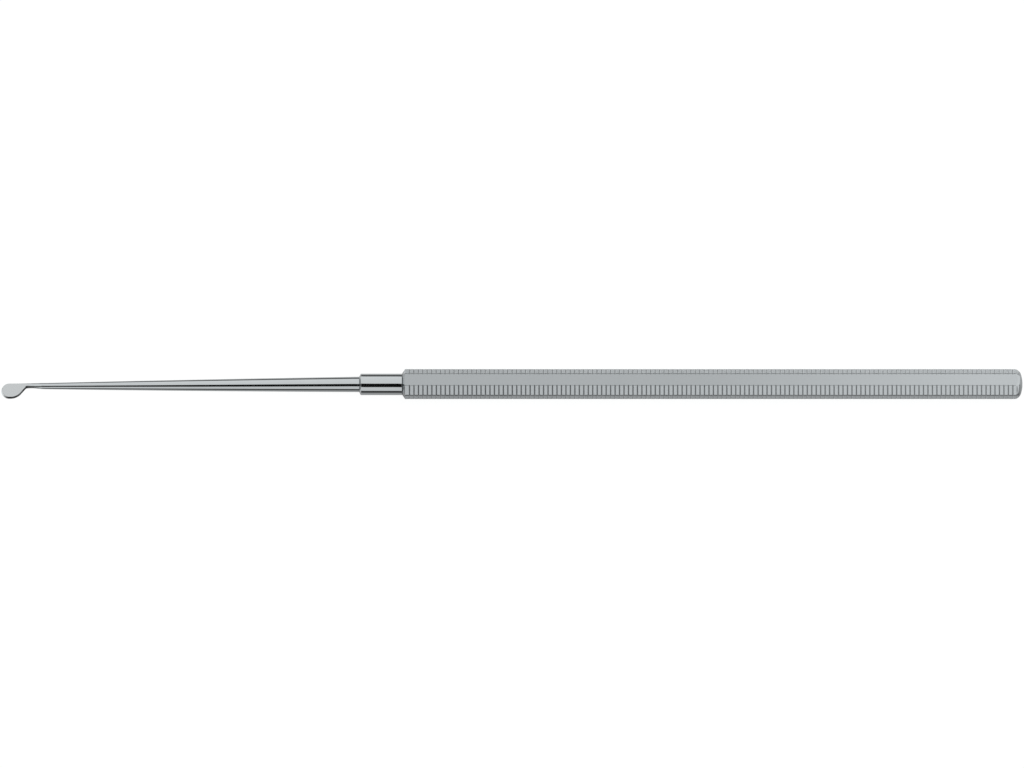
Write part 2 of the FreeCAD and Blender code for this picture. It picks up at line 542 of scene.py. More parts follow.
@dataclass(frozen=True)
class SatinSteel:
    """Fine blasted stainless steel with a ground face, painted shade and grime in its grooves,
    painted dark reflection on its worn edges and painted light towards the rear.

    Attributes:
        metal: Colour of the clean blasted metal.
        shaded: Colour of its slightly darker patches.
        ground: Colour of the ground upper face.
        ground_shaded: Colour of its slightly darker patches.
        groove: Colour at the floor of a groove: painted shade with some grime.
        worn_edge_reflection: Painted dark reflection along the worn long edges.
        rear_painted_light: Painted light: how much brighter the grooved faces are made at the rear.
        ground_rear_painted_light: Painted light: how much brighter the upper face is made there.
        rear_grime_and_shade: How much of the grooves' painted shade and grime is left at the rear.
        painted_light_span: Where the painted light brightens the grooved faces, in metres along the
            instrument.
        ground_painted_light_span: Where it brightens the upper face.
        grime_and_shade_span: Where the grooves lose part of their painted shade and grime.
        edge_amount: How much of the edges' wear and painted dark reflection shows.
        blasted: Grain of the grooved faces.
        lined: Grain of the ground upper face.
        roughness: Roughness of the blasted metal.
        ground_roughness: Roughness of the ground upper face.
        turned_roughness: Roughness of the turned cone and dome.
        grain_roughness: How much the grain changes the roughness.
        haze_roughness: How much the film of handling adds.
        wear_polish: How much the wear takes off.
        relief_mm: Depth of the blasted relief.
    """

    metal: Colour = (0.56, 0.593, 0.608, 1.0)
    shaded: Colour = (0.535, 0.568, 0.583, 1.0)
    ground: Colour = (0.484, 0.512, 0.525, 1.0)
    ground_shaded: Colour = (0.468, 0.496, 0.509, 1.0)
    groove: Colour = (0.07, 0.075, 0.08, 1.0)
    worn_edge_reflection: Colour = (0.085, 0.091, 0.095, 1.0)
    rear_painted_light: float = 1.14
    ground_rear_painted_light: float = 1.24
    rear_grime_and_shade: float = 0.70
    painted_light_span: Span = (-0.015, 0.07)
    ground_painted_light_span: Span = (0.030, 0.0735)
    grime_and_shade_span: Span = (0.0, 0.07)
    edge_amount: float = 0.95
    blasted: Grain = Grain(GrainLay.EVEN, 16000.0, 1.2)
    lined: Grain = Grain(GrainLay.ALONG, 14000.0, 1.4)
    roughness: float = 0.36
    ground_roughness: float = 0.30
    turned_roughness: float = 0.17
    grain_roughness: float = 0.12
    haze_roughness: float = 0.05
    wear_polish: float = 0.16
    relief_mm: float = 0.0012

    def material(self, effects: Effects) -> bpy.types.Material:
        """Make the material.

        Args:
            effects: Shared effects.

        Returns:
            The finished material.
        """
        material, bench, shader = start_material("satin_steel")
        read = read_surface(bench, effects, (self.blasted, self.lined), {}, self.edge_amount)
        ground, haze = read.ground, read.haze
        along = bench.along(read.place)
        # Painted light: the grooved faces and the upper face are made brighter towards the rear.
        painted_light = bench.spread(along, *self.painted_light_span, 1.0, self.rear_painted_light)
        ground_painted_light = bench.spread(along, *self.ground_painted_light_span, 1.0, self.ground_rear_painted_light)
        grime_and_shade_fade = bench.spread(along, *self.grime_and_shade_span, 1.0, self.rear_grime_and_shade)
        colour = bench.blend_colours(haze, self.shaded, self.metal)
        ground_colour = bench.blend_colours(haze, self.ground_shaded, self.ground)
        colour = bench.blend_colours(ground, colour, ground_colour)
        colour = bench.scale(colour, bench.blend_values(ground, painted_light, ground_painted_light))
        # Painted shade with some grime in the grooves, less of it towards the rear.
        groove_grime_and_shade = bench.maths("MULTIPLY", bench.mask(MaskName.SHADE_AND_GRIME), grime_and_shade_fade)
        colour = bench.blend_colours(groove_grime_and_shade, colour, self.groove)
        # Painted dark reflection along the worn edges.
        colour = bench.blend_colours(read.wear, colour, self.worn_edge_reflection)
        base = bench.blend_values(ground, self.roughness, self.ground_roughness)
        base = bench.blend_values(bench.mask(MaskName.TURNED), base, self.turned_roughness)
        grainy = bench.maths("MULTIPLY_ADD", read.grain, self.grain_roughness, -self.grain_roughness / 2)
        rough = bench.maths("ADD", base, grainy)
        rough = bench.maths("ADD", rough, bench.maths("MULTIPLY", haze, self.haze_roughness))
        rough = bench.maths("SUBTRACT", rough, bench.maths("MULTIPLY", read.wear, self.wear_polish))
        finish_metal(bench, shader, colour, rough, read.grain, self.relief_mm)
        return material


@dataclass(frozen=True)
class PolishedSteel:
    """Mirror-polished stainless steel whose blade keeps a fine ground lay.

    Painted shade darkens its seam, the belly wall, the neck and the chamfer.

    Attributes:
        metal: Colour of the polished metal.
        hazed: Colour where wiping has left a film.
        ground: Colour of the ground blade.
        seam: Painted shade down in the seam beside the handle, also laid on the belly wall, the neck and the
            chamfer.
        haze_per_metre: How fine the film is.
        streaks_per_metre: How fine the film's streaks are.
        edge_amount: How much of the edges' wear shows.
        turned: Grain of the turned shaft and collar.
        ground_lay: Grain of the ground blade.
        roughness: Roughness of the polish.
        blade_roughness: Roughness of the ground blade.
        haze_roughness: How much the film adds.
        line_roughness: How much the polishing lines add.
        wear_roughness: How much the wear adds.
        relief_mm: Depth of the polishing lines.
    """

    metal: Colour = (0.645, 0.68, 0.69, 1.0)
    hazed: Colour = (0.615, 0.65, 0.665, 1.0)
    ground: Colour = (0.634, 0.660, 0.668, 1.0)
    seam: Colour = (0.04, 0.04, 0.04, 1.0)
    haze_per_metre: float = 240.0
    streaks_per_metre: float = 1600.0
    edge_amount: float = 0.5
    turned: Grain = Grain(GrainLay.AROUND, 9000.0, 1.0)
    ground_lay: Grain = Grain(GrainLay.SLANTED, 15000.0, 1.6)
    roughness: float = 0.04
    blade_roughness: float = 0.17
    haze_roughness: float = 0.02
    line_roughness: float = 0.02
    wear_roughness: float = 0.05
    relief_mm: float = 0.00018

    def material(self, effects: Effects) -> bpy.types.Material:
        """Make the material.

        Args:
            effects: Shared effects.

        Returns:
            The finished material.
        """
        material, bench, shader = start_material("polished_steel")
        film = {"Per Metre": self.haze_per_metre, "Streaks": self.streaks_per_metre}
        read = read_surface(bench, effects, (self.turned, self.ground_lay), film, self.edge_amount)
        colour = bench.blend_colours(read.haze, self.hazed, self.metal)
        colour = bench.blend_colours(read.ground, colour, self.ground)
        # Painted shade in the seam, on the belly wall, the neck and the chamfer.
        colour = bench.blend_colours(bench.mask(MaskName.SHADE_AND_GRIME), colour, self.seam)
        rough = bench.blend_values(read.ground, self.roughness, self.blade_roughness)
        for value, amount in (
            (read.haze, self.haze_roughness),
            (read.grain, self.line_roughness),
            (read.wear, self.wear_roughness),
        ):
            rough = bench.maths("ADD", rough, bench.maths("MULTIPLY", value, amount))
        finish_metal(bench, shader, colour, rough, read.grain, self.relief_mm)
        return material


@dataclass(frozen=True)
class OpalSheet:
    """Softly glowing opal sheet that the knife lies on.

    Attributes:
        body: Colours that the sheet itself varies between.
        glow: Colours that its glow varies between.
        roughness: Values that its roughness varies between.
        per_metre: How fine the variation is.
    """

    body: tuple[Colour, Colour] = ((0.10, 0.10, 0.10, 1.0), (0.12, 0.12, 0.12, 1.0))
    glow: tuple[Colour, Colour] = ((0.93, 0.935, 0.935, 1.0), (0.94, 0.945, 0.945, 1.0))
    roughness: Span = (0.75, 0.9)
    per_metre: float = 900.0

    def material(self) -> bpy.types.Material:
        """Make the material.

        Returns:
            The finished material.
        """
        material, bench, shader = start_material("opal_sheet")
        for name, value in (("Metallic", 0.0), ("Specular IOR Level", 0.0), ("Emission Strength", 1.0)):
            shader.inputs[name].default_value = value
        noise = bench.noise(bench.place(), self.per_metre)
        bench.feed(shader.inputs["Base Color"], bench.blend_colours(noise, *self.body))
        bench.feed(shader.inputs["Emission Color"], bench.blend_colours(noise, *self.glow))
        bench.feed(shader.inputs["Roughness"], bench.spread(noise, 0.3, 0.7, *self.roughness))
        return material


def dress(piece: bpy.types.Object, node: str, material: bpy.types.Material) -> None:
    """Give a piece its material and its place in the frame.

    Args:
        piece: The finished piece.
        node: Solid that it stands for.
        material: Its material.
    """
    piece.data.materials.append(material)
    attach(piece, "root")
    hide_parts(node)


# Octagonal handle ---------------------------------------------------------------------------


@dataclass
class OctagonalHandle:
    """Grooved octagonal handle with a smooth upper face, a front cone and a domed end.

    Attributes:
        front_x: Where the handle starts, in millimetres like all the sizes.
        end_x: Where the handle ends.
        across_flats: Distance between opposite flats.
        corner_rounding: Radius of the eight long edges.
        corner_entry: Distance from each rounding back to the point before it.
        edge_runs: How far the wear and painted dark reflection of each long edge spread on its flats.
        edge_strengths: How strongly each long edge is worn and darkened by painted reflection.
        edge_wear_and_reflection: Wear and painted dark reflection at each point of a long edge and the face
            after it.
        wide_edge: Number of the long edge whose wear and painted dark reflection spread furthest.
        wide_wear: Wear and painted dark reflection at the first points of that edge.
        face_shares: Where points stand between one corner and the next.
        groove_shares: Share of a groove's depth at each point of a long edge and the face after it.
        groove_tones: Faces whose grooves get less painted shade and grime, and how much.
        marked_face: Number of the smooth upper face.
        marked_depth: How far the upper face lies below its flat.
        groove_pitch: Distance from groove to groove.
        groove_width: Width of a groove at its mouth.
        groove_depth: Depth of a groove.
        lip_rounding: Rounding of a groove's lips.
        floor_rounding: Rounding of a groove's floor.
        first_groove: Distance from the front to the first groove.
        last_groove: Least distance from the last groove to the end.
        cone_length: Length of the front cone.
        collar_radius: Radius at the small end of the cone.
        end_allowance: What finishing has taken off the end.
        shoulder_radius: Radius of the round shoulder at the end.
        crown_radius: Radius of the crowned end.
        turning_margin: How far the shoulder starts outside the corners.
        turning_rounding: Rounding where the turned outline cuts the flats.
        socket_radius: Radius of the blind socket.
        socket_depth: Depth of the blind socket.
        seam_rounding: Rounding of the front ring's edge beside the collar.
        cone_rings: How many rings draw the cone and a little behind it.
        cone_overrun: How far those rings go on behind the cone.
        groove_stations: Where rings stand to either side of a groove's middle.
        dome_rings: How many rings draw the dome.
        dome_lead: How far those rings start ahead of the shoulder.
        crown_stations: Where more rings stand ahead of the finished end.
        end_gap: Least distance from a ring to the finished end.
        ring_gap: Least distance from ring to ring.
        finish: Finish of the handle.
    """

    front_x: float
    end_x: float
    across_flats: float = 4.35
    corner_rounding: float = 0.11
    corner_entry: float = 0.05
    edge_runs: tuple[float, ...] = (0.06, 0.06, 0.05, 0.26, 0.06, 0.06, 0.06, 0.06)
    edge_strengths: tuple[float, ...] = (0.85, 0.98, 0.42, 1.0, 0.8, 0.8, 0.8, 0.8)
    edge_wear_and_reflection: tuple[float, ...] = (0.0, 0.75, 1.0, 0.75, 0.0, 0.0, 0.0, 0.0)
    wide_edge: int = 3
    wide_wear: tuple[float, ...] = (0.0, 0.6, 1.0, 1.0, 0.95)
    face_shares: tuple[float, ...] = (0.12, 0.5, 0.88)
    groove_shares: tuple[float, ...] = (1.0, 0.5, 0.38, 0.5, 1.0, 1.0, 1.0, 1.0)
    groove_tones: tuple[tuple[int, float], ...] = ((1, 0.78), (2, 0.0), (4, 0.38))
    marked_face: int = 2
    marked_depth: float = 0.1
    groove_pitch: float = 0.7
    groove_width: float = 0.22
    groove_depth: float = 0.09
    lip_rounding: float = 0.035
    floor_rounding: float = 0.02
    first_groove: float = 1.13
    last_groove: float = 0.82
    cone_length: float = 0.45
    collar_radius: float = 1.675
    end_allowance: float = 0.045
    shoulder_radius: float = 1.2
    crown_radius: float = 5.0
    turning_margin: float = 0.02
    turning_rounding: float = 0.05
    socket_radius: float = 1.125
    socket_depth: float = 12.4
    seam_rounding: float = 0.045
    cone_rings: int = 20
    cone_overrun: float = 0.12
    groove_stations: tuple[float, ...] = (0.153, 0.125, 0.1, 0.07, 0.018)
    dome_rings: int = 34
    dome_lead: float = 0.25
    crown_stations: tuple[float, ...] = (0.1, 0.06, 0.03, 0.012, 0.004, 0.001)
    end_gap: float = 0.0009
    ring_gap: float = 0.004
    finish: SatinSteel = SatinSteel()

    def apothem(self) -> float:
        """Return the distance from the axis to a flat."""
        return self.across_flats / 2

    def dome_x(self) -> float:
        """Return the position of the finished end."""
        return self.end_x - self.end_allowance

    def corner_radius(self) -> float:
        """Return the distance from the axis to a sharp corner."""
        return self.apothem() / math.cos(SIDE_TURN / 2)

    def groove_centres(self) -> Array:
        """Give the position of each groove.

        Returns:
            The positions along the handle.
        """
        run = self.end_x - self.front_x - self.first_groove - self.last_groove
        count = math.floor(run / self.groove_pitch) + 1
        return self.front_x + self.first_groove + np.arange(count) * self.groove_pitch

    def groove_depths(self, x: Array) -> Array:
        """Give the depth of the grooves, with rounded lips and a narrow rounded floor.

        Args:
            x: Positions along the handle.

        Returns:
            Depth below the flat at each position.
        """
        offset = np.abs(x[:, None] - self.groove_centres()[None, :]).min(axis=1)
        half = self.groove_width / 2
        ramp = (half - offset) * (self.groove_depth / half)
        lip = -smooth_min(-ramp, np.zeros_like(ramp), self.lip_rounding)
        return smooth_min(lip, np.full_like(lip, self.groove_depth), self.floor_rounding)

    def stations(self) -> Array:
        """Place the rings along the outside, closest where it curves.

        Returns:
            The rings' positions along the handle.
        """
        side = np.array(self.groove_stations)
        offsets = np.concatenate([-side, side[::-1]])
        grooves = (self.groove_centres()[:, None] + offsets[None, :]).ravel()
        cone = self.front_x + np.linspace(0.0, self.cone_length + self.cone_overrun, self.cone_rings)
        angles = np.linspace(0.0, math.pi / 2, self.dome_rings)
        dome = self.dome_x() - (self.shoulder_radius + self.dome_lead) * (1.0 - np.sin(angles))
        crown = self.dome_x() - np.array(self.crown_stations)
        every = np.unique(np.round(np.concatenate([cone, grooves, dome, crown]), 5))
        every = every[every <= self.dome_x() - self.end_gap]
        return every[np.concatenate([[True], np.diff(every) > self.ring_gap])]

    def envelope(self, x: Array) -> Array:
        """Give the turned outline that the front cone, body and dome stay inside.

        Args:
            x: Positions along the handle.

        Returns:
            Largest radius at each position.
        """
        slope = (self.corner_radius() - self.collar_radius) / self.cone_length
        cone = self.collar_radius + (x - self.front_x) * slope
        shoulder_y = self.corner_radius() + self.turning_margin - self.shoulder_radius
        span = self.crown_radius - self.shoulder_radius
        crown_x = self.dome_x() - self.crown_radius
        shoulder_x = crown_x + math.sqrt(span**2 - shoulder_y**2)
        tangent_x = self.dome_x() - self.crown_radius * (1.0 - math.sqrt(1.0 - (shoulder_y / span) ** 2))
        past = np.clip(x - shoulder_x, 0.0, self.shoulder_radius)
        shoulder = shoulder_y + np.sqrt(np.maximum(self.shoulder_radius**2 - past**2, 0.0))
        from_centre = np.clip(x - crown_x, 0.0, self.crown_radius)
        crown = np.sqrt(np.maximum(self.crown_radius**2 - from_centre**2, 0.0))
        return np.minimum(cone, np.where(x > tangent_x, crown, shoulder))

    def face_reach(self, side: int, depth: Array) -> Array:
        """Return the distance from the axis to a face, counted from +Y, where grooves have this depth."""
        return self.apothem() - (0.0 * depth + self.marked_depth if side == self.marked_face else depth)

    def section(self, depth: Array) -> Array:
        """Draw the octagon at each station: five points round a corner, then three along a face.

        Args:
            depth: How far the grooved flats lie below their full height at each station.

        Returns:
            The points of each ring as y and z.
        """
        corners = []
        radius = self.corner_rounding
        for side, run in enumerate(self.edge_runs):
            angle, after = SIDE_TURN * side, SIDE_TURN * (side + 1)
            reach = self.face_reach(side, depth) - radius
            next_reach = self.face_reach((side + 1) % SIDES, depth) - radius
            normals = np.array([[math.cos(angle), math.sin(angle)], [math.cos(after), math.sin(after)]])
            centre = np.linalg.solve(normals, np.stack([reach, next_reach]))
            bends = [angle, *np.linspace(angle, after, 3), after]
            corner = []
            for bend, slide in zip(bends, (-self.corner_entry, 0.0, 0.0, 0.0, run)):
                y = centre[0] + radius * math.cos(bend) - slide * math.sin(bend)
                z = centre[1] + radius * math.sin(bend) + slide * math.cos(bend)
                corner.append(np.stack([y, z], axis=1))
            corners.append(corner)
        points = []
        for side, corner in enumerate(corners):
            start, end = corner[-1], corners[(side + 1) % SIDES][0]
            points += corner + [start * (1.0 - share) + end * share for share in self.face_shares]
        return np.stack(points, axis=1)

    def skin(self, axis_height: float) -> Skin:
        """Loft the whole handle, from the socket's bottom round the outside to the dome.

        Args:
            axis_height: Height of the handle's axis.

        Returns:
            The lofted skin with its masks.
        """
        x = self.stations()
        depth = self.groove_depths(x)
        full = np.tile(self.groove_shares, SIDES)[None, :, None]
        section = self.section(depth) * full + self.section(0.0 * depth) * (1.0 - full)
        radius = np.linalg.norm(section, axis=2)
        angle = np.arctan2(section[..., 1], section[..., 0])
        limit = self.envelope(x)[:, None] + np.zeros_like(radius)
        blended = smooth_min(radius, limit, self.turning_rounding)
        blended[0] = self.collar_radius - self.seam_rounding
        outside = np.stack([x[:, None] + 0 * angle, blended * np.cos(angle), blended * np.sin(angle)], axis=2)
        bottom = self.front_x + self.socket_depth
        inside = circle_rings([(bottom, self.socket_radius), (self.front_x, self.socket_radius)], angle[0])
        rings = np.concatenate([inside, outside])
        rings[..., 2] += axis_height
        bare = np.zeros((len(inside), angle.shape[1]))
        masks = self.outside_masks(x, depth, angle, limit - radius)
        return Skin(rings, {name: np.concatenate([bare, mask]) for name, mask in masks.items()})

    def outside_masks(self, x: Array, depth: Array, angle: Array, spare: Array) -> dict[MaskName, Array]:
        """Tell where the outside is worn with painted dark reflection, has painted shade and grime,
        is ground and is turned.

        Args:
            x: Positions along the handle.
            depth: Groove depth at each position.
            angle: Polar angle of each point of each ring.
            spare: How far each point of the octagon lies inside the turned outline.

        Returns:
            A value for each point, by mask.
        """
        edge, ground, darkness = self.ring_masks()
        turned = smooth_step(0.08, -0.02, spare)
        # The long edges' wear and painted dark reflection run on over the cone and the dome.
        front_wear, rear_wear = 0.9, 0.5
        run_out = smooth_step(-0.48, -0.30, spare) * np.where(x > 0.0, rear_wear, front_wear)[:, None]
        shade_strength, shade_from_front, shade_width = 0.9, 0.33, 0.08
        off_middle = (x - self.front_x - shade_from_front) / shade_width
        shade = shade_strength * np.exp(-(off_middle**2))[:, None]
        shaded = (darkness == 1.0) & (np.cos(angle - math.radians(150.0)) > 0.85)
        # Painted shade with some grime at the groove floors.
        groove = ((depth / self.groove_depth) ** 0.7)[:, None] * darkness * (1.0 - turned)
        return {
            MaskName.EDGE: edge * np.maximum(1.0 - turned, run_out),
            MaskName.SHADE_AND_GRIME: np.maximum(np.maximum(groove, shade * shaded), self.cone_painted_shade(x, angle)),
            MaskName.GROUND: ground * (1.0 - turned),
            MaskName.TURNED: turned,
        }

    def cone_painted_shade(self, x: Array, angle: Array) -> Array:
        """Give the painted shade on the front cone, most at the seam and on the cone's flanks.

        Args:
            x: Positions along the handle.
            angle: Polar angle of each point of each ring.

        Returns:
            A value for each point.
        """
        run = (x - self.front_x)[:, None]
        turned = angle - UNSHADED_ANGLE
        # Painted shade at the seam beside the collar, and on the flanks turned away from the camera.
        seam = 0.42 * smooth_step(0.22, 0.06, run)
        below, above = 0.78 * smooth_step(0.46, 0.32, run), 0.33 * smooth_step(0.36, 0.20, run)
        flank = smooth_step(0.93, 0.80, np.cos(turned))
        return np.maximum(seam, flank * np.where(np.sin(turned) > 0.0, below, above))

    def ring_masks(self) -> tuple[Array, Array, Array]:
        """Tell which points of a ring lie on a corner, on the smooth upper face and on a grooved one.

        Returns:
            Strength of the corner's wear and painted dark reflection, 1 on the upper face, and the grooves'
            painted shade and grime.
        """
        edge = np.outer(self.edge_strengths, self.edge_wear_and_reflection)
        edge[self.wide_edge, : len(self.wide_wear)] = self.wide_wear
        ground, darkness = np.zeros(SIDES * SIDE_POINTS), np.ones(SIDES * SIDE_POINTS)
        ground[self.face_points(self.marked_face)] = 1.0
        for side, tone in self.groove_tones:
            darkness[self.face_points(side)] = tone
        return edge.ravel(), ground, darkness

    @staticmethod
    def face_points(side: int) -> slice:
        """Return the points of a ring that lie on a face, with those where its roundings end."""
        return slice(side * SIDE_POINTS - 5, side * SIDE_POINTS + 2)

    def build(self, axis_height: float, effects: Effects) -> bpy.types.Object:
        """Build the handle's piece and dress it.

        Args:
            axis_height: Height of the handle's axis.
            effects: Shared effects.

        Returns:
            The dressed piece.
        """
        piece = self.skin(axis_height).build("grooved_handle")
        dress(piece, "octagonal_handle", self.finish.material(effects))
        return piece


# Working end --------------------------------------------------------------------------------


@dataclass
class Blade:
    """Flat round blade, measured from its tip, with the neck's axis at y = 0.

    Attributes:
        width: Width of the blade, in millimetres like all the sizes.
        thickness: Thickness of the blade.
        wall_inset: How far the upper rim lies inside the cutting edge on the belly.
        back_inset: How far it lies inside on the straight back.
        neck_radius: Radius of the neck that the blade runs into.
        belly_flat: Straight run between the tip's disc and the belly.
        belly_radius: Radius of the belly.
        belly_sweep: Angle that the belly turns through, in radians.
        heel_radius: Radius of the hollow heel.
        rim_rounding: Rounding of the blade's rims.
    """

    width: float = 2.45
    thickness: float = 0.42
    wall_inset: float = 0.155
    back_inset: float = 0.05
    neck_radius: float = 0.39
    belly_flat: float = 0.22
    belly_radius: float = 2.2
    belly_sweep: float = math.radians(49.0)
    heel_radius: float = 0.4
    rim_rounding: float = 0.035

    def disc_centre(self) -> tuple[float, float]:
        """Return the centre of the tip's round."""
        return self.width / 2, self.neck_radius - self.width / 2

    def belly_centre(self) -> tuple[float, float]:
        """Return the centre of the belly's arc."""
        x, y = self.disc_centre()
        return x + self.belly_flat, y - self.width / 2 + self.belly_radius

    def heel_centre(self) -> tuple[float, float]:
        """Find the centre of the heel's hollow arc.

        Returns:
            The centre, in the blade's plane.
        """
        x, y = self.belly_centre()
        heel_y = -self.neck_radius - self.heel_radius
        rise = (heel_y - y) * math.cos(self.belly_sweep)
        return x + (self.belly_radius + self.heel_radius + rise) / math.sin(self.belly_sweep), heel_y

    @staticmethod
    def on_arc(x: float, centre: tuple[float, float], radius: float, side: float) -> tuple[Array, Array]:
        """Give a point on an arc and the normal that leads away from the arc's centre.

        Args:
            x: Distance from the tip.
            centre: Centre of the arc.
            radius: Radius of the arc.
            side: 1 for the half towards +Y, -1 for the other.

        Returns:
            The point and the normal, in the blade's plane.
        """
        run = (x - centre[0]) / radius
        rise = side * math.sqrt(max(1.0 - run * run, 0.0))
        return np.array([x, centre[1] + radius * rise]), np.array([run, rise])

    def upper_rim(self, x: float) -> tuple[Array, Array]:
        """Give a point and outward normal on the straight side of the outline.

        Args:
            x: Distance from the tip.

        Returns:
            The point and the normal, in the blade's plane.
        """
        centre = self.disc_centre()
        if x >= centre[0]:
            return np.array([x, self.neck_radius]), np.array([0.0, 1.0])
        return self.on_arc(x, centre, self.width / 2, 1.0)

    def lower_rim(self, x: float) -> tuple[Array, Array]:
        """Give a point and outward normal on the belly side of the outline.

        Args:
            x: Distance from the tip.

        Returns:
            The point and the normal, in the blade's plane.
        """
        disc, belly, heel = self.disc_centre(), self.belly_centre(), self.heel_centre()
        sin, cos = math.sin(self.belly_sweep), math.cos(self.belly_sweep)
        belly_end = belly[0] + self.belly_radius * sin
        if x < disc[0]:
            return self.on_arc(x, disc, self.width / 2, -1.0)
        if x < belly[0]:
            return np.array([x, disc[1] - self.width / 2]), np.array([0.0, -1.0])
        if x < belly_end:
            return self.on_arc(x, belly, self.belly_radius, -1.0)
        if x < heel[0] - self.heel_radius * sin:
            start_y = belly[1] - self.belly_radius * cos
            return np.array([x, start_y + (x - belly_end) * sin / cos]), np.array([sin, -cos])
        if x < heel[0]:
            point, inward = self.on_arc(x, heel, self.heel_radius, 1.0)
            return point, -inward
        return np.array([x, -self.neck_radius]), np.array([0.0, -1.0])

    def rim_profile(self, count: int, outward: Array) -> Array:
        """Draw the rim's section, from the underside up to the top face.

        Args:
            count: How many points to draw.
            outward: Outward normal of the rim, in the blade's plane.

        Returns:
            Inset from the cutting edge and height of each point.
        """
        half = self.thickness / 2
        back_share = float(smooth_step(-0.3, 1.0, outward[1]))
        inset = self.wall_inset + (self.back_inset - self.wall_inset) * back_share
        bends = np.linspace(0.0, math.pi / 2, 5)
        rising, flattening = self.rim_rounding * (1 - np.sin(bends)), self.rim_rounding * (1 - np.cos(bends))
        low = np.stack([rising, -half + flattening], axis=1)
        high = np.stack([inset + flattening, half - rising], axis=1)
        walls = np.linspace(low[-1], high[0], count - 2 * len(bends) + 2)[1:-1]
        return np.concatenate([low, walls, high])


